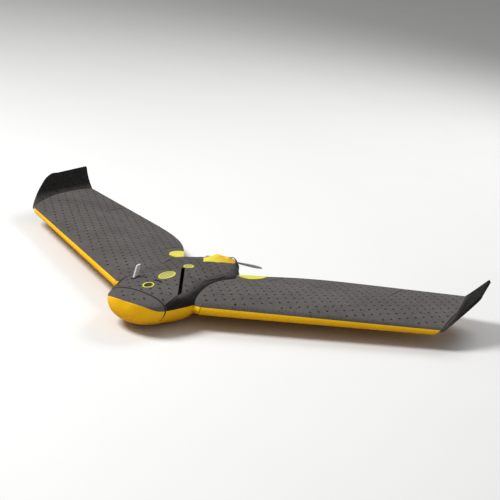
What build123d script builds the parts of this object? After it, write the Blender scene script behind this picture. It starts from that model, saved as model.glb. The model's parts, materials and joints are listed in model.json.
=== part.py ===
from build123d import *
import math
import os

# Foam flying-wing mapping drone.
# Frame, in millimetres: +X to the aircraft's left (port), the nose towards -Y, +Z up.
# The origin is below the middle of the outer box, on the plane that the belly rests on.

os.makedirs("parts", exist_ok=True)

# ---------------------------------------------------------------- wing planform
ROOT_X = 86.0
TIP_X = 447.0
LE_ROOT_Y = -178.7
LE_ROOT_Z = 42.6
LE_SWEEP = 35.2
LE_Z_SLOPE = -0.0147
TE_ROOT_Y = 162.2
TE_ROOT_Z = 19.1
TE_SWEEP = 17.2
TE_Z_SLOPE = 0.083
ROOT_CROWN = 20.0
TIP_CROWN = 8.5
ROOT_BAND = 16.0
TIP_BAND = 11.5
ROOT_BELLY = 6.0
TIP_BELLY = 2.0
TE_THICKNESS = 2.4
ROOT_GAP = 0.3
ROOT_SEAM = 1.2

# Centre cut-out in the trailing edge, which clears the propeller.
CUTOUT = [(232, 209), (199, 195), (179, 185), (158, 170), (131, 143), (109, 112), (89, 78), (60, 17)]

# ---------------------------------------------------------------- elevons
HINGE_IN = (115.0, 36.0)
HINGE_OUT = (318.0, 150.0)
HINGE_SINK = 0.4
HINGE_GAP = 0.9
END_GAP = 1.8
BEVEL = 29.0
# Undercut of the elevon's ends, as a share of the depth: its hinge is swept, so the ends move along the span.
END_UNDERCUT = 0.25

# ---------------------------------------------------------------- linkage under each wing
LINK_X = 190.0
ARM_R = 25.0
ROD_RUN = 48.0
ROD_DROP = 7.0
PIN_R = 0.75
PIN_FIT = 0.05
PLATE_T = 2.0
ROD_R = 0.9
SERVO_LENGTH = 23.0
SERVO_WIDTH = 20.0
SERVO_DEPTH = 10.0

# ---------------------------------------------------------------- spar
SPAR_Y = -20.0
SPAR_Z = 34.5
SPAR_R = 4.0
SPAR_BORE_R = 2.8
SPAR_HALF = 190.0
SLEEVE_R = 5.2
SPAR_FIT = 0.05

# ---------------------------------------------------------------- body
# Stations along the body: y, half width, height of the crown, height where the width is greatest.
BODY = [
    (-291.5, 12.0, 58.5, 56.0),
    (-286.0, 29.0, 60.5, 54.0),
    (-270.0, 46.0, 63.5, 48.0),
    (-247.0, 56.0, 65.5, 45.0),
    (-215.0, 64.5, 68.0, 43.0),
    (-183.0, 72.0, 69.5, 41.0),
    (-150.0, 69.8, 70.5, 38.0),
    (-115.0, 68.7, 70.5, 36.0),
    (-77.0, 68.6, 68.5, 34.0),
    (-40.0, 72.0, 66.5, 32.0),
    (-12.0, 76.0, 64.5, 30.0),
    (14.0, 68.5, 61.5, 28.0),
    (40.0, 56.0, 57.0, 27.0),
    (66.0, 41.5, 51.0, 26.5),
    (88.0, 29.0, 46.0, 26.5),
    (110.0, 19.0, 42.0, 27.0),
]
# Depth of the hull below the line of greatest width, at the same stations.
KEEL = [10.0, 26.0, 33.0, 38.0, 41.0, 43.5, 41.0, 39.0, 37.0, 34.5, 32.0, 28.0, 23.5, 18.5, 14.5, 11.5]
TAIL_Y = 102.0
NOSE_SEAM_Y = -247.0
SEAM = 4.4
SEAM_DEPTH = 4.5
SEAL_SUNK = 0.7
PARTING = [(-296, 60), (-284, 55.5), (-266, 47.5), (-247, 44.5), (-212, 43.3)]

# Hatch over the battery bay: its outline narrows to a point, with a wide slot along the port leg only.
HATCH_FRONT_HALF = 52.5
HATCH_SHOULDER = (54.0, -193.0)
HATCH_APEX_Y = -86.0
HATCH_FLOOR_Z = 46.5
HATCH_SLOT = 6.4
HATCH_SEAM = 0.9

# Narrow drain slit on the port flank, in plan.
SLIT = [(51.0, -106.0), (59.0, -34.0)]
SLIT_WIDTH = 1.3
SLIT_DEPTH = 5.0

# ---------------------------------------------------------------- equipment
BATTERY = (36.0, 104.0, 23.0)
BATTERY_Y = -178.0
BATTERY_Z = 20.5
CAMERA = (84.0, 48.0, 19.0)
CAMERA_Y = -92.0
CAMERA_Z = 14.0
LENS_R = 17.0
LENS_OPENING_R = 22.0
MOTOR_Z = 32.0
MOTOR_R = 11.5
PROP_Y = 121.0
PROP_R = 62.0
PROP_TILT = 4.5
HUB_R = 6.0


# Oval plates on the centre line: name, middle y, half length, half width, width of the rim.
OVALS = [
    ("status_light", -216.0, 13.0, 9.0, 2.4),
    ("hatch_label", -152.0, 24.0, 11.0, 2.2),
    ("receiver_mark", -72.0, 13.0, 8.5, 2.0),
]
GRIP_AT = (3.0, -191.5)
GRIP_R = 9.5
GRIP_STEP = 8.0
GRIP_DEPTH = 3.0
PROBE_AT = (-38.0, -197.0)
PROBE_T = 4.0
PROBE_CHORD = 16.0
PROBE_HEIGHT = 22.0
PROBE_RAKE = 6.0
PROBE_SEAT = 1.5
SENSOR_Y = -40.0
SENSOR_R = 6.0
SENSOR_DEPTH = 8.0
AVIONICS_HALF = 32.0
MOUNT_Y = 102.2
SHAFT_R = 1.6
# Propeller blade: fraction of the radius, chord, pitch in degrees.
BLADE = [(0.05, 4.5, 40), (0.25, 6.5, 32), (0.6, 7.2, 20), (0.9, 5.4, 13), (1.0, 3.0, 11)]

# Tail fairing: side view (y, z), then its roof by stations: y, half width and height of the ridge,
# half width and height of the lower edge.
NACELLE_SIDE = [(-14, 64.6), (45, 64.5), (53, 63), (60, 54.5), (82, 52.8), (96, 46.5), (102, 45), (102, 34),
                (60, 42), (20, 52), (-14, 60)]
NACELLE_ROOF = [(-14, 0.5, 65.5, 3, 63), (14, 2.5, 65.5, 21, 59), (50, 3, 65, 24, 51), (82, 4, 54.5, 19, 44),
                (102, 6, 47, 14, 40.5)]
NACELLE_FLOOR = 28.0
MOTOR_BAY = ((-12.0, 84.0, 16.0), (12.0, 110.0, 41.8))
# Rounded fairing on the corner between the wing's root and the cut-out.
ROOT_TAB = [(62.0, 17.0), (74, 10.5), (87, 14.5), (95, 31), (97.5, 50), (96, 67), (90.5, 84)]

CROWN_SQUARE = 2.6
END_SQUARE = 2.15
BOTTOM = (Align.CENTER, Align.CENTER, Align.MIN)


def save(shape, node):
    """Write one node to its own STEP file."""
    shape.label = node
    export_step(shape, f"parts/{node}.step")


def beyond(point, direction, size=1400.0):
    """Everything on the side of a plane that its normal points to."""
    block = Box(size, size, size, align=(Align.CENTER, Align.CENTER, Align.MIN))
    return Plane(origin=point, z_dir=direction) * block


def block(low, high):
    """Box between two corners."""
    size = [high[i] - low[i] for i in range(3)]
    centre = [(high[i] + low[i]) / 2 for i in range(3)]
    return Pos(*centre) * Box(*size)


def prism(points, low_z, high_z):
    """Upright prism on a polygon in plan."""
    base = make_face(Polyline(*[(x, y, low_z) for x, y in points], close=True))
    return extrude(base, amount=high_z - low_z, dir=(0, 0, 1))


def rod(start, end, radius):
    """Round bar between two points."""
    a = Vector(*start)
    b = Vector(*end)
    plane = Plane(origin=a, z_dir=b - a)
    return plane * Cylinder(radius, (b - a).length, align=(Align.CENTER, Align.CENTER, Align.MIN))


# ================================================================= wing sections
def chord_line(x):
    """Leading and trailing points of the wing's parting line, at one station of the span."""
    out = x - ROOT_X
    lead = (LE_ROOT_Y + out * math.tan(math.radians(LE_SWEEP)), LE_ROOT_Z + out * LE_Z_SLOPE)
    trail = (TE_ROOT_Y + out * math.tan(math.radians(TE_SWEEP)), TE_ROOT_Z + out * TE_Z_SLOPE)
    return lead, trail


def across(x, root_value, tip_value):
    """Value that runs evenly from the root to the tip."""
    return root_value + (tip_value - root_value) * (x - ROOT_X) / (TIP_X - ROOT_X)


# Crown and belly of the section: fraction of the chord, fraction of the full height.
CROWN_SHAPE = [(0.012, 0.25), (0.06, 0.56), (0.16, 0.87), (0.32, 1.0), (0.55, 0.85), (0.8, 0.48)]


def upper_height(x, part):
    """Height of the upper surface above the parting line, at a fraction of the chord."""
    points = [(0.0, 0.0)] + CROWN_SHAPE + [(1.0, 0.0)]
    crown = across(x, ROOT_CROWN, TIP_CROWN)
    for (a, ha), (b, hb) in zip(points, points[1:]):
        if a <= part <= b:
            return crown * (ha + (hb - ha) * (part - a) / (b - a)) + part * TE_THICKNESS / 2
    raise ValueError("a fraction of the chord lies between 0 and 1")


def section_point(x, part, height, station=None):
    """Point at a fraction of the chord and a height over the parting line."""
    (y0, z0), (y1, z1) = chord_line(x)
    place = x if station is None else station
    return (place, y0 + (y1 - y0) * part, z0 + (z1 - z0) * part + height)


def upper_section(x, station=None):
    """Closed outline of the black upper half of the wing."""
    crown = across(x, ROOT_CROWN, TIP_CROWN)
    top = [section_point(x, 0, 0, station)]
    for part, height in CROWN_SHAPE:
        top.append(section_point(x, part, height * crown + part * TE_THICKNESS / 2, station))
    top.append(section_point(x, 1, TE_THICKNESS / 2, station))
    back = section_point(x, 1, 0, station)
    return Wire([Spline(*top), Line(top[-1], back), Line(back, top[0])])


def lower_section(x, station=None):
    """Closed outline of the yellow lower half, whose blunt lip makes the leading edge."""
    band = across(x, ROOT_BAND, TIP_BAND)
    belly = across(x, ROOT_BELLY, TIP_BELLY)
    (y0, _), (y1, _) = chord_line(x)
    chord = y1 - y0
    lead = section_point(x, 0, 0, station)
    nose = section_point(x, -0.16 * band / chord, -0.30 * band, station)
    chin = section_point(x, 0.10 * band / chord, -0.82 * band, station)
    under = section_point(x, 0.9 * band / chord, -1.06 * band, station)
    low = section_point(x, 0.22, -band - belly * 0.5, station)
    aft = section_point(x, 0.62, -0.52 * band - belly * 0.3, station)
    back_low = section_point(x, 1, -TE_THICKNESS / 2, station)
    back = section_point(x, 1, 0, station)
    curve = Spline(lead, nose, chin, under, low, aft, back_low)
    return Wire([curve, Line(back_low, back), Line(back, lead)])


def wing_solid(section):
    """Wing half from the root plane to past the tip."""
    return Solid.make_loft([section(ROOT_X), section(TIP_X)], ruled=True)


def shoulder_solid(section, inner_x):
    """Part of the wing that runs straight inboard from the root, at the root's own section."""
    outline = make_face(section(ROOT_X))
    return extrude(outline, amount=ROOT_X - inner_x, dir=(-1, 0, 0))


def planform_cut():
    """Space behind the centre cut-out, which the wing must leave free."""
    curve = Spline(*[(x, y, -50) for x, y in CUTOUT])
    first = CUTOUT[0]
    last = CUTOUT[-1]
    edge = Polyline((last[0], last[1], -50), (-10, last[1], -50), (-10, 400, -50), (first[0], 400, -50),
                    (first[0], first[1], -50))
    return extrude(make_face(Wire([curve] + edge.edges())), amount=200, dir=(0, 0, 1))


# ================================================================= winglet
TIP_LEAD = Vector(445.1, 75.1, 37.4)
TIP_TRAIL = Vector(429.1, 268.4, 47.6)
WINGLET_TOP_REAR = Vector(464.6, 291.4, 89.0)
WINGLET_TOP_LEAD = Vector(476.6, 193.0, 85.6)
WINGLET_T = 5.5
WINGLET_CORNER_R = 3.0
# Edges of the winglet in its own plane, from the tip's leading point: along the tip's chord, and up.
WINGLET_LEADING = [(94, 59.3), (68, 48.5), (46, 36), (20, 18.5)]
WINGLET_TRAILING = [(200.5, 24)]


def winglet_plane():
    """Plane of the winglet's inner face, whose normal points outboard and down."""
    along = TIP_TRAIL - TIP_LEAD
    up = (WINGLET_TOP_REAR + WINGLET_TOP_LEAD) * 0.5 - TIP_LEAD
    return Plane(origin=TIP_LEAD, x_dir=along, z_dir=along.cross(up))


def winglet():
    """Swept plate that stands on the tip and leans outboard."""
    plane = winglet_plane()
    corners = [plane.to_local_coords(p) for p in (TIP_LEAD, TIP_TRAIL, WINGLET_TOP_REAR, WINGLET_TOP_LEAD)]
    lead, trail, top_rear, top_lead = [(p.X, p.Y) for p in corners]
    low = -16.0
    lead_low = (lead[0] - 9.0, low)
    trail_low = (trail[0] - 2.0, low)
    leading = Spline(top_lead, *WINGLET_LEADING, lead, lead_low)
    trailing = Spline(trail, *WINGLET_TRAILING, top_rear)
    foot = Polyline(lead_low, trail_low, trail)
    plate = make_face(Wire([leading] + foot.edges() + [trailing, Line(top_rear, top_lead)]))
    rear = plate.vertices().sort_by_distance((top_rear[0], top_rear[1], 0))[0]
    plate = fillet(rear, WINGLET_CORNER_R)
    (_, lead_z), (_, trail_z) = chord_line(TIP_X)
    low_lead = Vector(TIP_X, TIP_LEAD.Y, lead_z - 0.25 * TIP_BAND)
    low_trail = Vector(TIP_X, TIP_TRAIL.Y, trail_z - TE_THICKNESS / 2)
    level = Vector(1, 0, 0).cross(low_trail - low_lead)
    return (plane * extrude(plate, amount=WINGLET_T)) & beyond(low_lead, level)


# ================================================================= elevon
def surface_z(x, y):
    """Height of the wing's upper surface over a point in plan."""
    (y0, _), (y1, _) = chord_line(x)
    part = (y - y0) / (y1 - y0)
    return section_point(x, part, upper_height(x, part))[2]


def hinge_line():
    """Ends of the elevon's hinge axis, just under the upper surface."""
    ends = []
    for x, y in (HINGE_IN, HINGE_OUT):
        ends.append(Vector(x, y, surface_z(x, y) - HINGE_SINK))
    return ends


def hinge_frame():
    """Middle of the hinge, its direction outboard, and the level direction aft of it."""
    inner, outer = hinge_line()
    along = (outer - inner).normalized()
    aft = Vector(0, 0, 1).cross(along).normalized()
    return inner, along, aft


def elevon_zone(gap, ahead=0.0):
    """Plan area of the elevon, as an upright prism that is open behind the wing."""
    inner, along, aft = hinge_frame()
    start = inner - along * 60 - aft * ahead
    end = inner + along * 420 - aft * ahead
    quad = [start, end, end + aft * 260, start + aft * 260]
    zone = prism([(p.X, p.Y) for p in quad], -40, 140)
    ends = block((HINGE_IN[0] - gap, -400, -60), (HINGE_OUT[0] + gap, 500, 160))
    return zone & ends


def end_wall(x, inward):
    """Space beside the elevon's end wall, which leans in below the upper surface."""
    hinge = hinge_point(x)
    (_, _), (trail_y, _) = chord_line(x)
    fall = Vector(0, trail_y - hinge.Y, surface_z(x, trail_y) - hinge.Z).normalized()
    up = Vector(1, 0, 0).cross(fall)
    return beyond(hinge, Vector(inward, 0, 0) + up * END_UNDERCUT)


def elevon(wing_whole):
    """Control surface: bevelled under the hinge so that it can drop."""
    inner, along, aft = hinge_frame()
    slope = math.radians(BEVEL)
    facing = aft * math.cos(slope) + Vector(0, 0, 1) * math.sin(slope)
    piece = wing_whole & elevon_zone(0)
    piece = piece & beyond(inner, facing)
    return piece & end_wall(HINGE_IN[0], 1) & end_wall(HINGE_OUT[0], -1)


# ================================================================= linkage
def hinge_point(x):
    """Point of the hinge axis at one station of the span."""
    inner, along, _ = hinge_frame()
    return inner + along * ((x - inner.X) / along.X)


def link_plane(offset_aft=0.0, offset_up=0.0):
    """Plane square to the hinge at the linkage: local X aft, local Y up."""
    _, along, aft = hinge_frame()
    up = along.cross(aft)
    origin = hinge_point(LINK_X) + aft * offset_aft + up * offset_up
    return Plane(origin=origin, x_dir=aft, z_dir=aft.cross(up))


def servo_plane():
    """Plane of the servo's output, square to its shaft."""
    return link_plane(-ROD_RUN, -ROD_DROP)


def arm_plate(plane):
    """Arm that hangs from the servo's output to the rod's pin."""
    with BuildSketch() as outline:
        with Locations((0, 0)):
            Circle(4.0)
        with Locations((0, -ARM_R)):
            Circle(2.4)
        make_hull()
        with Locations((0, -ARM_R)):
            Circle(PIN_R + PIN_FIT, mode=Mode.SUBTRACT)
    return plane * extrude(outline.sketch, amount=PLATE_T)


def horn_plate(plane):
    """Horn that stands under the elevon and reaches forward to the hinge line."""
    with BuildSketch() as outline:
        with BuildLine():
            Polyline((-1.4, -ARM_R + 2.0), (9.5, -15.2), (24, -13.2), (24, -15.2), (15, -17.4), (1.6, -ARM_R - 1.8),
                     close=True)
        make_face()
        with Locations((0, -ARM_R)):
            Circle(2.4)
        with Locations((0, -ARM_R)):
            Circle(PIN_R + PIN_FIT, mode=Mode.SUBTRACT)
    return plane * extrude(outline.sketch, amount=PLATE_T)


def push_rod():
    """Wire with a pin at each end, one through the arm and one through the horn."""
    arm = servo_plane()
    horn = link_plane()
    clear = -ROD_R - 0.4
    parts = []
    for plane in (arm, horn):
        pin = plane * (Pos(0, -ARM_R, clear - ROD_R) * Cylinder(PIN_R, PLATE_T + 2 * ROD_R + 1.4,
                       align=(Align.CENTER, Align.CENTER, Align.MIN)))
        parts.append(pin)
    start = arm.from_local_coords(Vector(0, -ARM_R, clear))
    end = horn.from_local_coords(Vector(0, -ARM_R, clear))
    direction = (end - start).normalized()
    parts.append(rod(start - direction * 2, end + direction * 2, ROD_R))
    return parts[2] + parts[0] + parts[1]


def servo_case(grow=0.0):
    """Thin servo on its side, with its output facing outboard."""
    plane = servo_plane()
    case = Pos(-4.5, 0, PLATE_T + 1.6) * Box(SERVO_LENGTH + 2 * grow, SERVO_DEPTH + 2 * grow,
                                            SERVO_WIDTH + 2 * grow, align=(Align.CENTER, Align.CENTER, Align.MIN))
    lugs = Pos(-4.5, 0, PLATE_T + 5.0) * Box(SERVO_LENGTH + 9 + 2 * grow, SERVO_DEPTH + 2 * grow,
                                            1.8 + 2 * grow, align=(Align.CENTER, Align.CENTER, Align.MIN))
    return plane * (case + lugs)


def servo_output():
    """Splined stub that carries the arm."""
    return servo_plane() * Pos(0, 0, PLATE_T) * Cylinder(2.6, 1.6, align=(Align.CENTER, Align.CENTER, Align.MIN))


def servo_pocket():
    """Pocket for the servo from below, the slot that its arm swings in, and the channel over its rod."""
    plane = servo_plane()
    pocket = plane * Pos(-4.5, -14, PLATE_T + 1.5) * Box(SERVO_LENGTH + 0.2, SERVO_DEPTH + 28.2,
                                                      SERVO_WIDTH + 0.2,
                                                      align=(Align.CENTER, Align.CENTER, Align.MIN))
    lugs = plane * Pos(-4.5, -14, PLATE_T + 4.9) * Box(SERVO_LENGTH + 9.2, SERVO_DEPTH + 28.2, 2.0,
                                                    align=(Align.CENTER, Align.CENTER, Align.MIN))
    slot = plane * Pos(0, -13, -2.5) * Box(30, 36.4, PLATE_T + 4.2,
                                        align=(Align.CENTER, Align.CENTER, Align.MIN))
    channel = plane * Pos(0, -ARM_R, -3.4) * Box(ROD_RUN + 3, 32, PLATE_T + 5.1,
                                                  align=(Align.MIN, Align.CENTER, Align.MIN))
    return pocket + lugs + slot + channel


# ================================================================= body
def oval_arc(y, half, rise, base, square, turn):
    """Half of a rounded section: turn is +1 for the crown and -1 for the keel."""
    points = []
    steps = 12
    for i in range(steps + 1):
        angle = math.pi * i / steps
        c = math.cos(angle)
        s = abs(math.sin(angle))
        x = half * math.copysign(abs(c) ** (2 / square), c)
        points.append((x * turn, y, base + turn * rise * s ** (2 / square)))
    return Spline(*points)


def body_solid(grow=0.0):
    """Whole body, crown and keel, before the belly is cut flat."""
    sections = []
    for (y, half, top, base), depth in zip(BODY, KEEL):
        square = CROWN_SQUARE
        if y < NOSE_SEAM_Y + 1 or y > 0:
            square = END_SQUARE
        crown = oval_arc(y, half + grow, top - base + grow, base, square, 1)
        keel = oval_arc(y, half + grow, depth + grow, base, END_SQUARE, -1)
        sections.append(Wire([crown, keel]))
    return Solid.make_loft(sections)


def parting_prism():
    """Everything above the line where the black top meets the yellow hull."""
    nose = [(0, y, z) for y, z in PARTING]
    root = (0, LE_ROOT_Y, LE_ROOT_Z)
    back = (0, TE_ROOT_Y, TE_ROOT_Z)
    curve = Spline(*nose, root)
    rest = Polyline(root, back, (0, TE_ROOT_Y, 200), (0, PARTING[0][0], 200), nose[0])
    face = make_face(Wire([curve] + rest.edges()))
    return extrude(face, amount=200, both=True, dir=(1, 0, 0))


def hatch_outline(slot, seam):
    """Plan of the hatch, inside a slot along the port leg and a seam along its other sides."""
    shoulder_x, shoulder_y = HATCH_SHOULDER
    leg = math.atan2(shoulder_x, HATCH_APEX_Y - shoulder_y)
    front = NOSE_SEAM_Y + SEAM / 2
    apex_x = (seam - slot) / (2 * math.cos(leg))
    apex_y = HATCH_APEX_Y - (seam + slot) / (2 * math.sin(leg))
    port_y = shoulder_y - slot / math.sin(leg) + seam / math.tan(leg)
    starboard_y = shoulder_y - seam / math.sin(leg) + seam / math.tan(leg)
    return [
        (seam - HATCH_FRONT_HALF, front), (HATCH_FRONT_HALF - seam, front), (shoulder_x - seam, port_y),
        (apex_x, apex_y), (seam - shoulder_x, starboard_y),
    ]


def slit_prism():
    """Upright column of the drain slit."""
    (x0, y0), (x1, y1) = SLIT
    turn = math.degrees(math.atan2(y1 - y0, x1 - x0))
    length = math.hypot(x1 - x0, y1 - y0)
    plan = Pos((x0 + x1) / 2, (y0 + y1) / 2, 40) * Rot(0, 0, turn) * SlotOverall(length, SLIT_WIDTH)
    return extrude(plan, amount=60, dir=(0, 0, 1))


def nose_face(inset):
    """Section of the body at the nose's seam, smaller by an inset all round."""
    y, half, top, base = BODY[3]
    crown = oval_arc(y, half - inset, top - base - inset, base, END_SQUARE, 1)
    keel = oval_arc(y, half - inset, KEEL[3] - inset, base, END_SQUARE, -1)
    return Pos(0, SEAM / 2, 0) * make_face(Wire([crown, keel]))


def nose_spigot():
    """Plug behind the nose, which leaves the seam open as a groove around it."""
    return extrude(nose_face(SEAM_DEPTH), amount=SEAM + 1, dir=(0, -1, 0))


def nose_seal():
    """Soft ring that lies in the groove, just below the skin."""
    return extrude(nose_face(SEAL_SUNK) - nose_face(SEAM_DEPTH), amount=SEAM, dir=(0, -1, 0))


def oval_prism(centre_y, half_length, half_width):
    """Upright oval column on the centre line."""
    plan = Pos(0, centre_y, 40) * Ellipse(half_width, half_length)
    return extrude(plan, amount=60, dir=(0, 0, 1))


def skin_plate(whole, column, proud, sunk):
    """Thin plate that follows the body's crown inside a column."""
    return (Pos(0, 0, proud) * whole & column) - Pos(0, 0, -sunk) * whole


def nacelle():
    """Fairing over the tail: a low roof with a narrow ridge, notched behind its crest."""
    side = make_face(Polyline(*[(0, y, z) for y, z in NACELLE_SIDE], close=True))
    profile = extrude(side, amount=40, both=True, dir=(1, 0, 0))
    sections = []
    for y, ridge, ridge_z, edge, edge_z in NACELLE_ROOF:
        corners = [(-edge, NACELLE_FLOOR), (edge, NACELLE_FLOOR), (edge, edge_z), (ridge, ridge_z),
                   (-ridge, ridge_z), (-edge, edge_z)]
        sections.append(Wire.make_polygon([(x, y, z) for x, z in corners]))
    return profile & Solid.make_loft(sections, ruled=True)


def airspeed_probe(surface_z_here):
    """Raked fin that carries the pressure ports."""
    x, y = PROBE_AT
    low = surface_z_here - 4.0
    height = PROBE_HEIGHT + 4.0
    base = Pos(x, y, low) * Rectangle(PROBE_T, PROBE_CHORD)
    top = Pos(x, y + PROBE_RAKE, low + height) * Rectangle(PROBE_T * 0.7, PROBE_CHORD * 0.72)
    fin = loft([base, top])
    upright = [e for e in fin.edges() if abs(e.bounding_box().size.Z) > height * 0.8]
    return fillet(upright, 0.9)


# ================================================================= assembly

def save_body():
    """Foam body: nose, hull, crown, hatch, and the tail fairing."""
    whole = body_solid() & beyond((0, 0, 0), (0, 0, 1))
    whole = whole - beyond((0, TAIL_Y, 0), (0, 1, 0))
    above = parting_prism()
    crown = whole & above
    hull = whole - above
    ahead = beyond((0, NOSE_SEAM_Y - SEAM / 2, 0), (0, -1, 0)) + nose_spigot()
    behind = beyond((0, NOSE_SEAM_Y + SEAM / 2, 0), (0, 1, 0))
    fairing = nacelle()
    motor_bay = block(*MOTOR_BAY)

    save(crown & ahead, "nose_lip")
    save(hull & ahead, "nose_chin")
    save(nose_seal(), "nose_seal")
    save(fairing - motor_bay, "tail_fairing")

    slab = extrude(make_face(lower_section(ROOT_X, -ROOT_X)), amount=2 * ROOT_X, dir=(1, 0, 0))
    slab = Pos(0, 0, -ROOT_GAP) * slab & block((-ROOT_X, -300, -10), (ROOT_X, CUTOUT[-1][1] - 1.0, 100))
    bay = centred_block(BATTERY, BATTERY_Y, BATTERY_Z, 1.0, 60)
    camera_bay = centred_block(CAMERA, CAMERA_Y, CAMERA_Z, 0.5, 60)
    opening = Pos(0, CAMERA_Y, 0) * Cylinder(LENS_OPENING_R, 40)
    spar_hole = rod((-100, SPAR_Y, SPAR_Z), (100, SPAR_Y, SPAR_Z), SPAR_R)
    esc_bay = block((-13, 8, 12), (13, 52, 48))
    lead_bay = block((-9, BATTERY_Y, 35), (9, BATTERY_Y + BATTERY[1] / 2 + 14, 60))
    sensor_hole = Pos(0, SENSOR_Y, 0) * Cylinder(SENSOR_R, 2 * SENSOR_DEPTH)
    lower = (hull & behind) + slab
    for hollow in (bay, lead_bay, camera_bay, opening, spar_hole, esc_bay, fairing, motor_bay, sensor_hole):
        lower = lower - hollow
    save(lower, "belly_hull")

    hatch_space = prism(hatch_outline(0, 0), HATCH_FLOOR_Z - ROOT_GAP, 120)
    avionics = block((-AVIONICS_HALF, -84, 20), (AVIONICS_HALF, -26, 56))
    upper = crown & behind
    for hollow in (hatch_space, bay, lead_bay, avionics, spar_hole, esc_bay, fairing, motor_bay):
        upper = upper - hollow

    upper = upper - (slit_prism() - Pos(0, 0, -SLIT_DEPTH) * whole)

    hatch = crown & prism(hatch_outline(HATCH_SLOT, HATCH_SEAM), HATCH_FLOOR_Z, 120)
    for node, centre_y, half_length, half_width, rim in OVALS:
        outer = oval_prism(centre_y, half_length, half_width)
        inner = oval_prism(centre_y, half_length - rim, half_width - rim)
        save(skin_plate(whole, outer - inner, 0.9, 1.2), node + "_rim")
        save(skin_plate(whole, inner, 0.3, 1.2), node + "_plate")
        seat = outer - Pos(0, 0, -1.2) * whole
        hatch = hatch - seat
        upper = upper - seat
    grip_column = grip_prism()
    hatch = hatch - (grip_column - Pos(0, 0, -GRIP_DEPTH) * whole)
    foot_seat = Pos(PROBE_AT[0], PROBE_AT[1], 40) * Box(PROBE_T + 3, PROBE_CHORD + 3, 80)
    hatch = hatch - (foot_seat - Pos(0, 0, -PROBE_SEAT) * whole)
    save(skin_plate(whole, grip_column, -0.6, GRIP_DEPTH), "hatch_grip")
    save(upper, "upper_shell")
    save(hatch, "battery_hatch")
    return whole


def centred_block(size, centre_y, low_z, spare, high_z=None):
    """Box about the centre line: width, length and height, with spare room on the sides."""
    top = low_z + size[2] if high_z is None else high_z
    return block((-size[0] / 2 - spare, centre_y - size[1] / 2 - spare, low_z),
                 (size[0] / 2 + spare, centre_y + size[1] / 2 + spare, top))


def grip_prism():
    """Upright column of the finger grip in the hatch: a crescent that is open towards the nose."""
    x, y = GRIP_AT
    outer = Pos(x, y, 40) * Circle(GRIP_R)
    inner = Pos(x, y - GRIP_STEP, 40) * Circle(GRIP_R)
    rear = Pos(x, y + GRIP_R, 40) * Rectangle(2 * GRIP_R, 2 * GRIP_R)
    return extrude((outer - inner) & rear, amount=60, dir=(0, 0, 1))


def save_equipment(whole):
    """Battery, camera, electronics, spar and probe."""
    save(fillet(centred_block(BATTERY, BATTERY_Y, BATTERY_Z, 0).edges(), 2.5), "battery_pack")
    lead_y = BATTERY_Y + BATTERY[1] / 2
    save(block((-8, lead_y + 1.2, 36), (8, lead_y + 13, 43.5)), "battery_connector")

    camera = fillet(centred_block(CAMERA, CAMERA_Y, CAMERA_Z, 0).edges(), 2.0)
    barrel = Pos(0, CAMERA_Y, CAMERA_Z - 7) * Cylinder(LENS_R, 7, align=BOTTOM)
    glass_seat = Pos(0, CAMERA_Y, CAMERA_Z - 8) * Cylinder(LENS_R - 4, 3.5, align=BOTTOM)
    save(camera, "camera_body")
    save(barrel - glass_seat, "camera_lens_barrel")
    dome_cut = Pos(0, CAMERA_Y, CAMERA_Z - 7) * Cylinder(LENS_R - 4, 2.4, align=BOTTOM)
    save(dome_cut, "camera_lens_glass")
    bezel = Pos(0, CAMERA_Y, 0.6) * Cylinder(LENS_OPENING_R, 5.0, align=BOTTOM)
    bezel = bezel - Pos(0, CAMERA_Y, 0) * Cylinder(LENS_OPENING_R - 2.5, 20)
    save(bezel, "camera_port_ring")

    save(block((-24, -78, 37), (24, -32, 38.6)), "autopilot_board")
    save(fillet(block((-12, -74, 38.6), (12, -50, 45)).edges().filter_by(Axis.Z), 1.5), "satellite_receiver")
    save(block((-30, -60, 40), (-26, -34, 50)) , "radio_modem")
    save(rod((-28, -58, 50), (-28, -58, 55.5), 2.0), "radio_antenna")
    save(block((-11, 12, 12.5), (11, 48, 19.5)), "speed_controller")
    save(Pos(0, SENSOR_Y, 0.8) * Cylinder(SENSOR_R, SENSOR_DEPTH - 0.8, align=BOTTOM), "ground_sensor")

    tube = rod((-SPAR_HALF, SPAR_Y, SPAR_Z), (SPAR_HALF, SPAR_Y, SPAR_Z), SPAR_R)
    tube = tube - rod((-SPAR_HALF - 1, SPAR_Y, SPAR_Z), (SPAR_HALF + 1, SPAR_Y, SPAR_Z), SPAR_BORE_R)
    save(tube, "spar_tube")

    column = Pos(PROBE_AT[0], PROBE_AT[1], 40) * Box(PROBE_T + 3, PROBE_CHORD + 3, 80)
    foot = skin_plate(whole, column, 1.6, PROBE_SEAT)
    fin = airspeed_probe(crown_height(whole, PROBE_AT)) - Pos(0, 0, -0.2) * whole
    save(fin, "airspeed_probe")
    save(foot - fin, "probe_foot")


def crown_height(whole, spot):
    """Height of the body's crown over a point in plan."""
    needle = Pos(spot[0], spot[1], 60) * Box(1, 1, 120)
    return (whole & needle).bounding_box().max.Z


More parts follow.
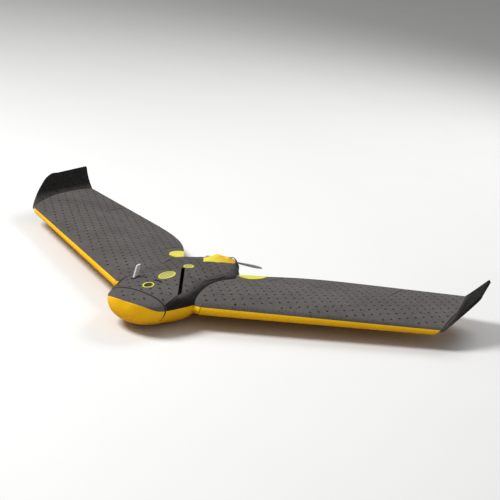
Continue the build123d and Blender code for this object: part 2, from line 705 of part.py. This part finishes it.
def save_motor():
    """Motor, its mount, and the propeller: the shaft lies along Y."""
    mount = along_y(14.5, MOUNT_Y, 2.0)
    mount = mount & block((-14, 80, MOTOR_Z - 14), (14, 130, MOTOR_Z + 14))
    holes = [(Pos(dx, 0, dz)) for dx in (-8, 8) for dz in (-8, 8)]
    for spot in holes:
        mount = mount - spot * along_y(1.6, MOUNT_Y - 1, 4)
    mount = mount - along_y(3.2, MOUNT_Y - 1, 4)
    save(mount, "motor_mount")
    screws = []
    for spot in holes:
        screws.append(spot * (along_y(1.5, MOUNT_Y - 8, 10) + along_y(2.8, MOUNT_Y + 2, 1.6)))
    save(Compound(screws), "motor_mount_screws")
    stator = along_y(8.4, MOUNT_Y + 2, 8) - along_y(SHAFT_R + 0.05, MOUNT_Y, 14)
    save(stator, "motor_stator")
    bell_y = MOUNT_Y + 4.2
    bell = along_y(MOTOR_R, bell_y, 9.0) - along_y(MOTOR_R - 1.2, bell_y - 1, 7.6)
    bell = bell - along_y(SHAFT_R, bell_y - 1, 14)
    save(bell, "motor_bell")
    save(along_y(SHAFT_R, MOUNT_Y - 3, PROP_Y - MOUNT_Y + 12), "motor_shaft")
    adapter_y = bell_y + 9.0
    save(along_y(4.5, adapter_y, PROP_Y - 3 - adapter_y) - along_y(SHAFT_R, adapter_y - 1, 20), "propeller_adapter")
    save(propeller() - along_y(SHAFT_R, PROP_Y - 10, 20), "propeller")
    nut = Plane(origin=(0, PROP_Y + 3.5, MOTOR_Z), x_dir=(1, 0, 0), z_dir=(0, 1, 0)) * extrude(
        RegularPolygon(4.2, 6), amount=3.5)
    save(nut - along_y(SHAFT_R, PROP_Y - 10, 30), "propeller_nut")


def along_y(radius, start_y, length):
    """Disc or bar on the motor's axis."""
    plane = Plane(origin=(0, start_y, MOTOR_Z), x_dir=(1, 0, 0), z_dir=(0, 1, 0))
    return plane * Cylinder(radius, length, align=BOTTOM)


def propeller():
    """Two narrow twisted blades on a hub."""
    sections = []
    for part, chord, pitch in BLADE:
        angle = math.radians(pitch)
        plane = Plane(origin=(part * PROP_R, PROP_Y + 0.2, MOTOR_Z), z_dir=(1, 0, 0),
                      x_dir=(0, -math.sin(angle), math.cos(angle)))
        edge = chord / 2
        thick = 0.1 * chord + 0.25
        crown = Spline((-edge, 0, 0), (0, thick, 0), (edge, 0, 0))
        face = Spline((edge, 0, 0), (0, -thick * 0.3, 0), (-edge, 0, 0))
        sections.append(plane * Wire([crown, face]))
    blade = Solid.make_loft(sections)
    axis = Axis((0, PROP_Y, MOTOR_Z), (0, 1, 0))
    pair = along_y(HUB_R, PROP_Y - 3, 6.5)
    for turn in (0, 180):
        pair = pair + blade.rotate(axis, turn - PROP_TILT)
    return pair


def wing_pieces(whole_grown):
    """All the pieces of the left wing, by name."""
    up = wing_solid(upper_section) + shoulder_solid(upper_section, 50.0)
    low = wing_solid(lower_section)
    tip = winglet_plane()
    outside = beyond(TIP_LEAD, tip.z_dir)
    bare = planform_cut()
    up = up - outside - bare - whole_grown
    low = (low - outside - bare) & beyond((ROOT_X + ROOT_SEAM, 0, 0), (1, 0, 0))

    pieces = {"elevon": elevon(up + low)}
    gone = elevon_zone(END_GAP, HINGE_GAP)
    up = up - gone
    low = low - gone

    tab = root_tab_prism()
    raised = up + Pos(0, 0, 1.2) * up
    pieces["root_fairing"] = raised & tab
    up = up - tab

    sleeve = rod((ROOT_X + 1, SPAR_Y, SPAR_Z), (SPAR_HALF + 12, SPAR_Y, SPAR_Z), SLEEVE_R)
    bore = rod((ROOT_X, SPAR_Y, SPAR_Z), (SPAR_HALF + 10, SPAR_Y, SPAR_Z), SPAR_R + SPAR_FIT)
    sleeve_hole = rod((50, SPAR_Y, SPAR_Z), (SPAR_HALF + 12, SPAR_Y, SPAR_Z), SLEEVE_R)
    pieces["spar_sleeve"] = sleeve - bore
    pocket = servo_pocket()
    pieces["wing_upper"] = up - sleeve_hole - pocket
    pieces["wing_lower"] = low - sleeve_hole - pocket

    pieces["winglet"] = winglet()
    pieces["servo"] = servo_case() + servo_output()
    pieces["servo_arm"] = arm_plate(servo_plane())
    pieces["elevon_horn"] = horn_plate(link_plane()) - pieces["elevon"]
    pieces["pushrod"] = push_rod()
    return pieces


def root_tab_prism():
    """Plan of the rounded fairing at the corner of the wing's root."""
    curve = Spline(*[(x, y, 0) for x, y in ROOT_TAB])
    first = ROOT_TAB[0]
    last = ROOT_TAB[-1]
    inner = Polyline((last[0], last[1], 0), (last[0] - 40, last[1], 0), (first[0] - 10, first[1], 0),
                     (first[0], first[1], 0))
    return extrude(make_face(Wire([curve] + inner.edges())), amount=90, dir=(0, 0, 1))


def save_wings():
    """Left wing, and the right wing as its mirror image."""
    for node, shape in wing_pieces(body_solid(ROOT_GAP)).items():
        save(shape, "left_" + node)
        save(mirror(shape, about=Plane.YZ), "right_" + node)


body_whole = save_body()
save_equipment(body_whole)
save_motor()
save_wings()
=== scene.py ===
import json
import math

import bpy
from mathutils import Matrix, Vector
from mathutils.bvhtree import BVHTree


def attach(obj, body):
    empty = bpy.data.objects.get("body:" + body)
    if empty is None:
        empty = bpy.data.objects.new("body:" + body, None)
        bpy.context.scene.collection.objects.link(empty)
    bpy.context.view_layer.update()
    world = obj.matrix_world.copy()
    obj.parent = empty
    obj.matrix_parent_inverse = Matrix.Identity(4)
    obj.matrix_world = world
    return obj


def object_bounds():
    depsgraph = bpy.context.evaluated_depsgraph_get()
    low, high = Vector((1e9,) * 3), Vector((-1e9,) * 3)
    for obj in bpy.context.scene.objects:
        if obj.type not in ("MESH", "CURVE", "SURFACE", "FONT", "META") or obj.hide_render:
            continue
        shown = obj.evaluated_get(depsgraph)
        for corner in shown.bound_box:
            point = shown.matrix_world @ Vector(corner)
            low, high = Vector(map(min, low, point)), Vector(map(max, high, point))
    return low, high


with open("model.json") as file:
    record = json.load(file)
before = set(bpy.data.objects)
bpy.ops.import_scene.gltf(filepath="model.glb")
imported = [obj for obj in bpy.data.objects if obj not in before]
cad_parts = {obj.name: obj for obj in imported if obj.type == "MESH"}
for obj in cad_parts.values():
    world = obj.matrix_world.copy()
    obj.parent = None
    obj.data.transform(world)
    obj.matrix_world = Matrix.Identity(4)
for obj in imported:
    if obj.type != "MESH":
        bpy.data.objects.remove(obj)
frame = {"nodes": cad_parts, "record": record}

NODES = frame["nodes"]
CAD_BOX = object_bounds()
SLOTS = {row["node"]: row["material_slot"] for row in frame["record"]["subparts"]}
SCENE = bpy.context.scene


# ---------------------------------------------------------------- camera
# Place in metres, angles in degrees, lens in millimetres.
CAMERA_PLACE = Vector((0.9636, -2.0075, 0.7960))
CAMERA_AZIMUTH = 23.45
CAMERA_DIP = 17.27
CAMERA_ROLL = 8.98
CAMERA_LENS = 90.0
CAMERA_SHIFT = (-0.010, -0.006)


def add_camera():
    """Camera at the photograph's viewing angle."""
    turn = math.radians(CAMERA_AZIMUTH)
    dip = math.radians(CAMERA_DIP)
    ahead = Vector((-math.sin(turn) * math.cos(dip), math.cos(turn) * math.cos(dip), -math.sin(dip)))
    level = ahead.cross(Vector((0, 0, 1))).normalized()
    upright = level.cross(ahead)
    roll = math.radians(CAMERA_ROLL)
    right = level * math.cos(roll) + upright * math.sin(roll)
    up = right.cross(ahead)
    data = bpy.data.cameras.new("camera")
    data.sensor_width = 36.0
    data.lens = CAMERA_LENS
    data.shift_x, data.shift_y = CAMERA_SHIFT
    camera = bpy.data.objects.new("camera", data)
    SCENE.collection.objects.link(camera)
    turned = Matrix((right, up, -ahead)).transposed().to_4x4()
    camera.matrix_world = Matrix.Translation(CAMERA_PLACE) @ turned
    SCENE.camera = camera


# ---------------------------------------------------------------- node helpers
# Where most of a noise's values lie.
MIDDLE = (0.3, 0.7)


class Graph:
    """A material's node tree, with short calls to add nodes and join them."""

    def __init__(self, name):
        self.material = bpy.data.materials.new(name)
        self.material.use_nodes = True
        self.tree = self.material.node_tree
        self.tree.nodes.clear()
        self.output = self.tree.nodes.new("ShaderNodeOutputMaterial")
        self.shader = self.tree.nodes.new("ShaderNodeBsdfPrincipled")
        self.tree.links.new(self.shader.outputs[0], self.output.inputs["Surface"])
        self.place = self.tree.nodes.new("ShaderNodeTexCoord").outputs["Object"]

    def set(self, **values):
        """Uniform values, straight on the shader's sockets."""
        for name, value in values.items():
            self.shader.inputs[name.replace("_", " ")].default_value = value

    def join(self, source, socket):
        self.tree.links.new(source, socket)

    def noise(self, scale, detail=4.0, rough=0.55, stretch=None):
        node = self.tree.nodes.new("ShaderNodeTexNoise")
        node.inputs["Scale"].default_value = scale
        node.inputs["Detail"].default_value = detail
        node.inputs["Roughness"].default_value = rough
        self.join(self.stretched(stretch), node.inputs["Vector"])
        return node.outputs["Fac"]

    def cells(self, scale, feature="DISTANCE_TO_EDGE", output="Distance"):
        node = self.tree.nodes.new("ShaderNodeTexVoronoi")
        node.feature = feature
        node.inputs["Scale"].default_value = scale
        self.join(self.place, node.inputs["Vector"])
        return node.outputs[output]

    def stretched(self, stretch):
        if stretch is None:
            return self.place
        node = self.tree.nodes.new("ShaderNodeMapping")
        node.inputs["Scale"].default_value = stretch
        self.join(self.place, node.inputs["Vector"])
        return node.outputs["Vector"]

    def ramp(self, source, low, high, from_value=0.0, to_value=1.0):
        """Source remapped from low..high to from_value..to_value, clamped."""
        node = self.tree.nodes.new("ShaderNodeMapRange")
        node.inputs["From Min"].default_value = low
        node.inputs["From Max"].default_value = high
        node.inputs["To Min"].default_value = from_value
        node.inputs["To Max"].default_value = to_value
        self.join(source, node.inputs["Value"])
        return node.outputs["Result"]

    def blend(self, factor, first, second):
        """Mix of two colours, given as tuples or sockets."""
        node = self.tree.nodes.new("ShaderNodeMix")
        node.data_type = "RGBA"
        self.join(factor, node.inputs["Factor"])
        for socket, colour in ((node.inputs["A"], first), (node.inputs["B"], second)):
            if isinstance(colour, tuple):
                socket.default_value = (*colour, 1.0)
            else:
                self.join(colour, socket)
        return node.outputs["Result"]

    def maths(self, operation, first, second=None):
        node = self.tree.nodes.new("ShaderNodeMath")
        node.operation = operation
        for socket, value in ((node.inputs[0], first), (node.inputs[1], second)):
            if value is None:
                continue
            if isinstance(value, (int, float)):
                socket.default_value = value
            else:
                self.join(value, socket)
        return node.outputs[0]

    def bump(self, height, distance, strength=1.0):
        node = self.tree.nodes.new("ShaderNodeBump")
        node.inputs["Distance"].default_value = distance
        node.inputs["Strength"].default_value = strength
        self.join(height, node.inputs["Height"])
        self.join(node.outputs["Normal"], self.shader.inputs["Normal"])

    def along(self, source, axis):
        """One axis of a vector socket."""
        node = self.tree.nodes.new("ShaderNodeSeparateXYZ")
        self.join(source, node.inputs[0])
        return node.outputs[axis]

    def facing(self, axis):
        """How far a face looks along an axis."""
        return self.along(self.tree.nodes.new("ShaderNodeTexCoord").outputs["Normal"], axis)

    def side_faces(self, steep, heights):
        """1 on the faces that look along the span, above the given heights."""
        sideways = self.ramp(self.maths("ABSOLUTE", self.facing("X")), *steep)
        return self.maths("MULTIPLY", sideways, self.ramp(self.along(self.place, "Z"), *heights))

    def colour(self, source):
        self.join(source, self.shader.inputs["Base Color"])

    def roughness(self, source):
        self.join(source, self.shader.inputs["Roughness"])


# ---------------------------------------------------------------- materials
# Texture scales, in cells or waves to the metre.
BEADS = 330.0
MOTTLE = 14.0
FOAM_GLOSS = 90.0
FOAM_SKIN = 700.0
PLASTIC_FLOW = 38.0
PLASTIC_GLOSS = 160.0
PLASTIC_GRAIN = 1500.0
BRUSHING = 60.0

# How far the roughness strays over a plastic part, and the specular level of dull parts.
GLOSS_CHANGE = 0.07
DULL = 0.08

# How far sideways a face looks, and the heights, between which the foam's painted shade sets in.
WINGLET_STEEP = (0.45, 0.70)
WINGLET_HEIGHTS = (0.047, 0.060)
FLANK_STEEP = (0.30, 0.62)
FLANK_HEIGHTS = (0.030, 0.034)
# How far down a face looks where the painted shade on the belly's downward faces is full, and where it
# starts.
UNDERSIDE_SHADE_STEEP = (-0.75, 0.10)
# Stations along the tail fairing between which its painted highlight fades out near its front and its
# painted shade fades in near its rear.
FAIRING_HIGHLIGHT_SPAN = (0.000, 0.042)
FAIRING_SHADE_SPAN = (0.055, 0.100)

# Foam grades: darker and lighter beads, then the odd bead and the lines between beads.
BLACK_FOAM = ((0.088, 0.078, 0.074), (0.120, 0.108, 0.103), (0.048, 0.042, 0.040))
# The shell's grade has darker odd beads and bead lines, and the winglets' grade is darker all over, to keep
# their painted shade dark.
SHELL_SHADED_FOAM = ((0.088, 0.078, 0.074), (0.120, 0.108, 0.103), (0.026, 0.023, 0.022))
WINGLET_SHADED_FOAM = ((0.080, 0.071, 0.067), (0.110, 0.099, 0.094), (0.012, 0.011, 0.010))
YELLOW_FOAM = ((0.88, 0.48, 0.002), (0.97, 0.56, 0.004), (0.80, 0.41, 0.002))
# Colours of the painted shade on the winglets' sideways faces and on the body shell's flanks.
WINGLET_SHADE = (0.002, 0.0017, 0.0014)
FLANK_SHADE = (0.004, 0.0035, 0.003)
# Colour of the painted shade on the yellow foam's downward faces.
UNDERSIDE_SHADE = (0.50, 0.22, 0.001)

# Painted highlight at the fairing's front tip, its plain yellow middle, and painted shade at its rear.
FAIRING_TIP_HIGHLIGHT = (0.74, 0.70, 0.07)
FAIRING_MIDDLE = (0.90, 0.61, 0.004)
FAIRING_REAR_SHADE = (0.84, 0.42, 0.002)
FAIRING_FLOW = (0.62, 0.36, 0.002)


# Painted shade mask on the winglets' faces that look sideways, high up.
def winglet_painted_shade_faces(g):
    return g.side_faces(WINGLET_STEEP, WINGLET_HEIGHTS)


# Painted shade mask on the body shell's faces that look sideways.
def flank_painted_shade_faces(g):
    return g.side_faces(FLANK_STEEP, FLANK_HEIGHTS)


# Painted shade mask: 1 on faces that look well down, 0 on faces that look level or up.
def downward_painted_shade(g):
    return g.ramp(g.facing("Z"), *UNDERSIDE_SHADE_STEEP, 1.0, 0.0)


def foam(name, grade, shade=None, where=None, gloss=0.22):
    """Moulded bead foam: fused beads, a few darker beads, broad mottling, and painted shade on some faces.
    """
    dark, light, speck = grade
    g = Graph(name)
    g.set(Specular_IOR_Level=gloss)
    beads = g.cells(BEADS)
    tone = g.cells(BEADS, "F1", "Color")
    mottle = g.noise(MOTTLE, 5.0)
    base = g.blend(g.ramp(mottle, 0.35, 0.68), dark, light)
    # Painted shade blended over the faces that the mask picks.
    if where is not None:
        base = g.blend(where(g), base, shade)
    speckled = g.blend(g.ramp(tone, 0.80, 0.86, 0.0, 0.65), base, speck)
    seams = g.ramp(beads, 0.0, 0.16, 0.65, 0.0)
    g.colour(g.blend(seams, speckled, speck))
    g.roughness(g.ramp(g.noise(FOAM_GLOSS, 3.0), *MIDDLE, 0.62, 0.82))
    skin = g.maths("MULTIPLY", g.noise(FOAM_SKIN, 2.0), 0.25)
    height = g.maths("ADD", g.ramp(beads, 0.0, 0.3), skin)
    g.bump(height, 0.00022)
    return g.material


def plastic_surface(g, rough):
    """Slow changes of gloss, and a fine grain."""
    low, high = rough - GLOSS_CHANGE, rough + GLOSS_CHANGE
    g.roughness(g.ramp(g.noise(PLASTIC_GLOSS, 3.0), *MIDDLE, low, high))
    g.bump(g.noise(PLASTIC_GRAIN, 2.0), 0.00005)


def plastic(name, dark, light, rough=0.42, coat=0.0, gloss=0.3):
    """Moulded plastic with faint flow marks and a fine grain."""
    g = Graph(name)
    g.set(Specular_IOR_Level=gloss)
    g.colour(g.blend(g.ramp(g.noise(PLASTIC_FLOW, 5.0), *MIDDLE), dark, light))
    plastic_surface(g, rough)
    g.set(Coat_Weight=coat)
    return g.material


def fairing_painted_light(name):
    """The tail fairing's plastic, lime at its front tip from a painted highlight and deeper yellow at its
    rear from a painted shade.
    """
    g = Graph(name)
    g.set(Specular_IOR_Level=DULL)
    station = g.along(g.place, "Y")
    front = g.blend(g.ramp(station, *FAIRING_HIGHLIGHT_SPAN), FAIRING_TIP_HIGHLIGHT, FAIRING_MIDDLE)
    whole = g.blend(g.ramp(station, *FAIRING_SHADE_SPAN), front, FAIRING_REAR_SHADE)
    flow = g.ramp(g.noise(PLASTIC_FLOW, 5.0), *MIDDLE)
    g.colour(g.blend(g.maths("MULTIPLY", flow, 0.2), whole, FAIRING_FLOW))
    plastic_surface(g, 0.5)
    return g.material


def metal(name, dark, light, rough=0.3, stretch=(1, 40, 1)):
    """Turned or brushed metal."""
    g = Graph(name)
    grain = g.noise(BRUSHING, 4.0, stretch=stretch)
    g.colour(g.blend(g.ramp(grain, *MIDDLE), dark, light))
    g.roughness(g.ramp(grain, *MIDDLE, rough - 0.08, rough + 0.1))
    g.bump(grain, 0.00003)
    g.set(Metallic=1.0)
    return g.material


def glass(name):
    """Coated lens glass."""
    g = Graph(name)
    g.colour(g.blend(g.ramp(g.noise(60.0), *MIDDLE), (0.03, 0.035, 0.06), (0.05, 0.04, 0.08)))
    g.roughness(g.ramp(g.noise(900.0), *MIDDLE, 0.03, 0.07))
    g.set(Coat_Weight=0.6, IOR=1.6)
    return g.material


def weave(name):
    """Wrapped carbon cloth under clear resin."""
    g = Graph(name)
    bands = g.tree.nodes.new("ShaderNodeTexWave")
    bands.inputs["Scale"].default_value = 170.0
    bands.inputs["Distortion"].default_value = 0.6
    g.join(g.place, bands.inputs["Vector"])
    fibres = g.noise(400.0, 2.0, stretch=(1, 8, 8))
    mixed = g.maths("MULTIPLY", bands.outputs["Fac"], fibres)
    g.colour(g.blend(g.ramp(mixed, 0.1, 0.6), (0.006, 0.006, 0.007), (0.045, 0.045, 0.05)))
    g.roughness(g.ramp(mixed, 0.1, 0.6, 0.32, 0.2))
    g.bump(mixed, 0.00003)
    g.set(Coat_Weight=0.5)
    return g.material


def board(name):
    """Green circuit board with rows of parts and copper marks."""
    g = Graph(name)
    tone = g.cells(420.0, "F1", "Color")
    parts = g.ramp(tone, 0.62, 0.66)
    marks = g.blend(g.ramp(g.noise(300.0, 1.0), 0.55, 0.6), (0.01, 0.10, 0.05), (0.02, 0.19, 0.09))
    g.colour(g.blend(parts, marks, (0.05, 0.05, 0.05)))
    g.roughness(g.ramp(tone, 0.2, 0.8, 0.3, 0.6))
    g.bump(parts, 0.0006)
    return g.material


def make_materials():
    """One finished material for each of the record's slots, and for the materials with painted shade and
    painted highlight.
    """
    return {
        "foam_black": foam("foam_black", BLACK_FOAM),
        "winglet_painted_shade_foam": foam("winglet_painted_shade_foam", WINGLET_SHADED_FOAM, WINGLET_SHADE, winglet_painted_shade_faces, DULL),
        "shell_painted_shade_foam": foam("shell_painted_shade_foam", SHELL_SHADED_FOAM, FLANK_SHADE, flank_painted_shade_faces, 0.14),
        "foam_yellow": foam("foam_yellow", YELLOW_FOAM, UNDERSIDE_SHADE, downward_painted_shade, 0.12),
        "plastic_yellow": plastic("plastic_yellow", (0.84, 0.56, 0.003), (0.92, 0.64, 0.005),
                                  0.5, 0.0, DULL),
        "fairing_painted_light": fairing_painted_light("fairing_painted_light"),
        "plastic_lime": plastic("plastic_lime", (0.68, 0.63, 0.045), (0.78, 0.73, 0.07)),
        "label_face": plastic("label_face", (0.36, 0.36, 0.10), (0.46, 0.46, 0.14), 0.5),
        "vent_mark": plastic("vent_mark", (0.008, 0.007, 0.007), (0.014, 0.012, 0.012), 0.8, 0.0, 0.1),
        "smoked_lens": plastic("smoked_lens", (0.012, 0.012, 0.010), (0.03, 0.03, 0.02), 0.2, 0.4),
        "plastic_grey": plastic("plastic_grey", (0.66, 0.61, 0.63), (0.76, 0.71, 0.73), 0.5),
        "plastic_dark": plastic("plastic_dark", (0.012, 0.012, 0.013), (0.03, 0.03, 0.032), 0.45),
        "plastic_white": plastic("plastic_white", (0.70, 0.70, 0.68), (0.80, 0.80, 0.78), 0.4),
        "propeller_grey": plastic("propeller_grey", (0.27, 0.31, 0.32), (0.36, 0.41, 0.42), 0.32),
        "rubber_black": plastic("rubber_black", (0.008, 0.008, 0.008), (0.02, 0.02, 0.02), 0.75),
        "battery_wrap": plastic("battery_wrap", (0.02, 0.06, 0.24), (0.04, 0.10, 0.34), 0.3, 0.3),
        "heatshrink": plastic("heatshrink", (0.01, 0.01, 0.03), (0.03, 0.03, 0.06), 0.35),
        "circuit_board": board("circuit_board"),
        "ceramic_tan": plastic("ceramic_tan", (0.50, 0.37, 0.22), (0.60, 0.46, 0.28), 0.5),
        "brass_pin": metal("brass_pin", (0.60, 0.42, 0.14), (0.78, 0.60, 0.25)),
        "copper_winding": metal("copper_winding", (0.45, 0.16, 0.05), (0.75, 0.33, 0.14), 0.35, (30, 1, 30)),
        "steel": metal("steel", (0.42, 0.42, 0.42), (0.62, 0.62, 0.62)),
        "metal_dark": metal("metal_dark", (0.02, 0.02, 0.022), (0.05, 0.05, 0.055), 0.35),
        "plate_metal": metal("plate_metal", (0.45, 0.46, 0.48), (0.62, 0.63, 0.65), 0.35),
        "carbon_tube": weave("carbon_tube"),
        "lens_glass": glass("lens_glass"),
    }


# Nodes whose material carries painted shade and painted highlight, in place of their slot's plain one.
PAINTED_LIGHT_FINISH = {
    "left_winglet": "winglet_painted_shade_foam",
    "right_winglet": "winglet_painted_shade_foam",
    "upper_shell": "shell_painted_shade_foam",
    "tail_fairing": "fairing_painted_light",
}


def dress_nodes(materials):
    """Gives every CAD node its slot's finished material, and some nodes their material with painted shade
    and highlight.
    """
    for name, node in NODES.items():
        finish = PAINTED_LIGHT_FINISH.get(name, SLOTS[name])
        for holder in node.material_slots:
            holder.material = materials[finish]


# ---------------------------------------------------------------- vent marks
# Spacing of the marks along the span and between rows, and their radius, in metres.
VENT_PITCH_X = 0.022
VENT_PITCH_Y = 0.013
VENT_RADIUS = 0.0022
VENT_SIDES = 10
# Rings of one mark, from its middle to its underside: share of the radius, then height over the skin.
VENT_RINGS = [(0.55, 0.00003), (0.85, 0.00008), (1.0, 0.00004), (1.08, -0.0003)]
# A mark is left out where the skin within this many radii steps by more than VENT_FLATNESS.
VENT_MARGIN = 1.7
VENT_FLATNESS = 0.0004
# The least upward part of the skin's normal under a mark.
STEEPEST = 0.45


class Skin:
    """Everything that a ray from above meets first on the CAD model, with the node that it belongs to."""

    def __init__(self):
        points = []
        faces = []
        self.owner = []
        for name, node in NODES.items():
            start = len(points)
            points.extend(vertex.co.copy() for vertex in node.data.vertices)
            for polygon in node.data.polygons:
                faces.append([start + i for i in polygon.vertices])
                self.owner.append(name)
        self.tree = BVHTree.FromPolygons(points, faces)
        self.top = CAD_BOX[1][2] + 0.05

    def drop(self, x, y):
        """Point, normal and node under a place in plan, or None."""
        point, normal, index, _ = self.tree.ray_cast(Vector((x, y, self.top)), Vector((0, 0, -1)))
        if point is None:
            return None
        if normal.z < 0:
            normal = -normal
        return point, normal, self.owner[index]

    def is_smooth(self, point, normal, name, radius):
        """True where the same node carries on, without a step, all round a place."""
        for i in range(8):
            angle = math.tau * i / 8
            found = self.drop(point.x + radius * math.cos(angle), point.y + radius * math.sin(angle))
            if found is None or found[2] != name:
                return False
            if abs((found[0] - point).dot(normal)) > VENT_FLATNESS:
                return False
        return True


def body_of(name):
    """Body that a node belongs to."""
    for body, members in frame["record"]["behaviour"]["bodies"].items():
        if name in members:
            return body
    raise KeyError(name)


def add_mesh(name, points, faces, material):
    mesh = bpy.data.meshes.new(name)
    mesh.from_pydata(points, [], faces)
    mesh.materials.append(material)
    for polygon in mesh.polygons:
        polygon.use_smooth = True
    piece = bpy.data.objects.new(name, mesh)
    SCENE.collection.objects.link(piece)
    return piece


def vent_mark(point, normal):
    """Points and faces of one closed, slightly dished button that sits in the skin."""
    side = normal.orthogonal().normalized()
    other = normal.cross(side)
    points = [point]
    for share, height in VENT_RINGS:
        for i in range(VENT_SIDES):
            angle = math.tau * i / VENT_SIDES
            spoke = side * math.cos(angle) + other * math.sin(angle)
            points.append(point + spoke * (VENT_RADIUS * share) + normal * height)
    faces = []
    for i in range(VENT_SIDES):
        after = (i + 1) % VENT_SIDES
        faces.append((0, 1 + i, 1 + after))
        for ring in range(len(VENT_RINGS) - 1):
            low = 1 + ring * VENT_SIDES
            high = low + VENT_SIDES
            faces.append((low + i, high + i, high + after, low + after))
    last = 1 + (len(VENT_RINGS) - 1) * VENT_SIDES
    faces.append(tuple(last + i for i in reversed(range(VENT_SIDES))))
    return points, faces


def add_vent_marks(skin, material):
    """Staggered rows of the small round marks that the mould's vents leave on the black foam."""
    groups = {}
    (_, low_y, _), (high_x, high_y, _) = CAD_BOX
    rows = int((high_y - low_y) / VENT_PITCH_Y)
    columns = int(high_x / VENT_PITCH_X)
    for row in range(rows + 1):
        y = low_y + row * VENT_PITCH_Y
        shift = 0.5 * (row % 2)
        for column in range(-columns - 1, columns + 1):
            found = skin.drop((column + shift) * VENT_PITCH_X, y)
            if found is None or SLOTS[found[2]] != "foam_black" or found[1].z < STEEPEST:
                continue
            point, normal, name = found
            if skin.is_smooth(point, normal, name, VENT_RADIUS * VENT_MARGIN):
                groups.setdefault(name, []).append((point, normal))
    for name, places in groups.items():
        points = []
        faces = []
        for point, normal in places:
            more_points, more_faces = vent_mark(point, normal)
            faces.extend(tuple(len(points) + i for i in face) for face in more_faces)
            points.extend(more_points)
        piece = add_mesh(name + "_vent_marks", points, faces, material)
        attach(piece, body_of(name))


# ---------------------------------------------------------------- stage and light
FLOOR_HALF = 12.0
# Lamps: name, place, width of the disk, power in watts.
LAMPS = [
    ("key", (-1.7, -1.3, 2.6), 1.4, 112.0),
    ("fill", (2.4, -2.4, 1.8), 2.2, 2.0),
    ("rim", (0.4, 2.6, 2.2), 1.6, 44.0),
]
SKY_STRENGTH = 0.27


def add_stage():
    """Pale floor under the belly."""
    mesh = bpy.data.meshes.new("floor")
    corners = [(FLOOR_HALF * x, FLOOR_HALF * y, 0) for x, y in ((-1, -1), (1, -1), (1, 1), (-1, 1))]
    mesh.from_pydata(corners, [], [(0, 1, 2, 3)])
    floor = bpy.data.objects.new("floor", mesh)
    SCENE.collection.objects.link(floor)
    g = Graph("floor")
    g.colour(g.blend(g.noise(3.0), (0.78, 0.78, 0.77), (0.82, 0.82, 0.81)))
    g.set(Roughness=0.9)
    mesh.materials.append(g.material)


def add_lamp(name, place, size, power):
    """A disk of light that looks at the drone."""
    data = bpy.data.lights.new(name, "AREA")
    data.shape = "DISK"
    data.size = size
    data.energy = power
    lamp = bpy.data.objects.new(name, data)
    SCENE.collection.objects.link(lamp)
    lamp.location = place
    lamp.rotation_euler = (-Vector(place)).to_track_quat("-Z", "Y").to_euler()


def add_lights():
    """Soft studio light, strongest from above on the starboard side."""
    for lamp in LAMPS:
        add_lamp(*lamp)
    world = bpy.data.worlds.new("studio")
    world.use_nodes = True
    sky = world.node_tree.nodes["Background"]
    sky.inputs["Color"].default_value = (1.0, 1.0, 1.0, 1.0)
    sky.inputs["Strength"].default_value = SKY_STRENGTH
    SCENE.world = world


SCENE.view_settings.view_transform = "Standard"
add_camera()
MATERIALS = make_materials()
dress_nodes(MATERIALS)
SKIN = Skin()
add_vent_marks(SKIN, MATERIALS["vent_mark"])
add_stage()
add_lights()
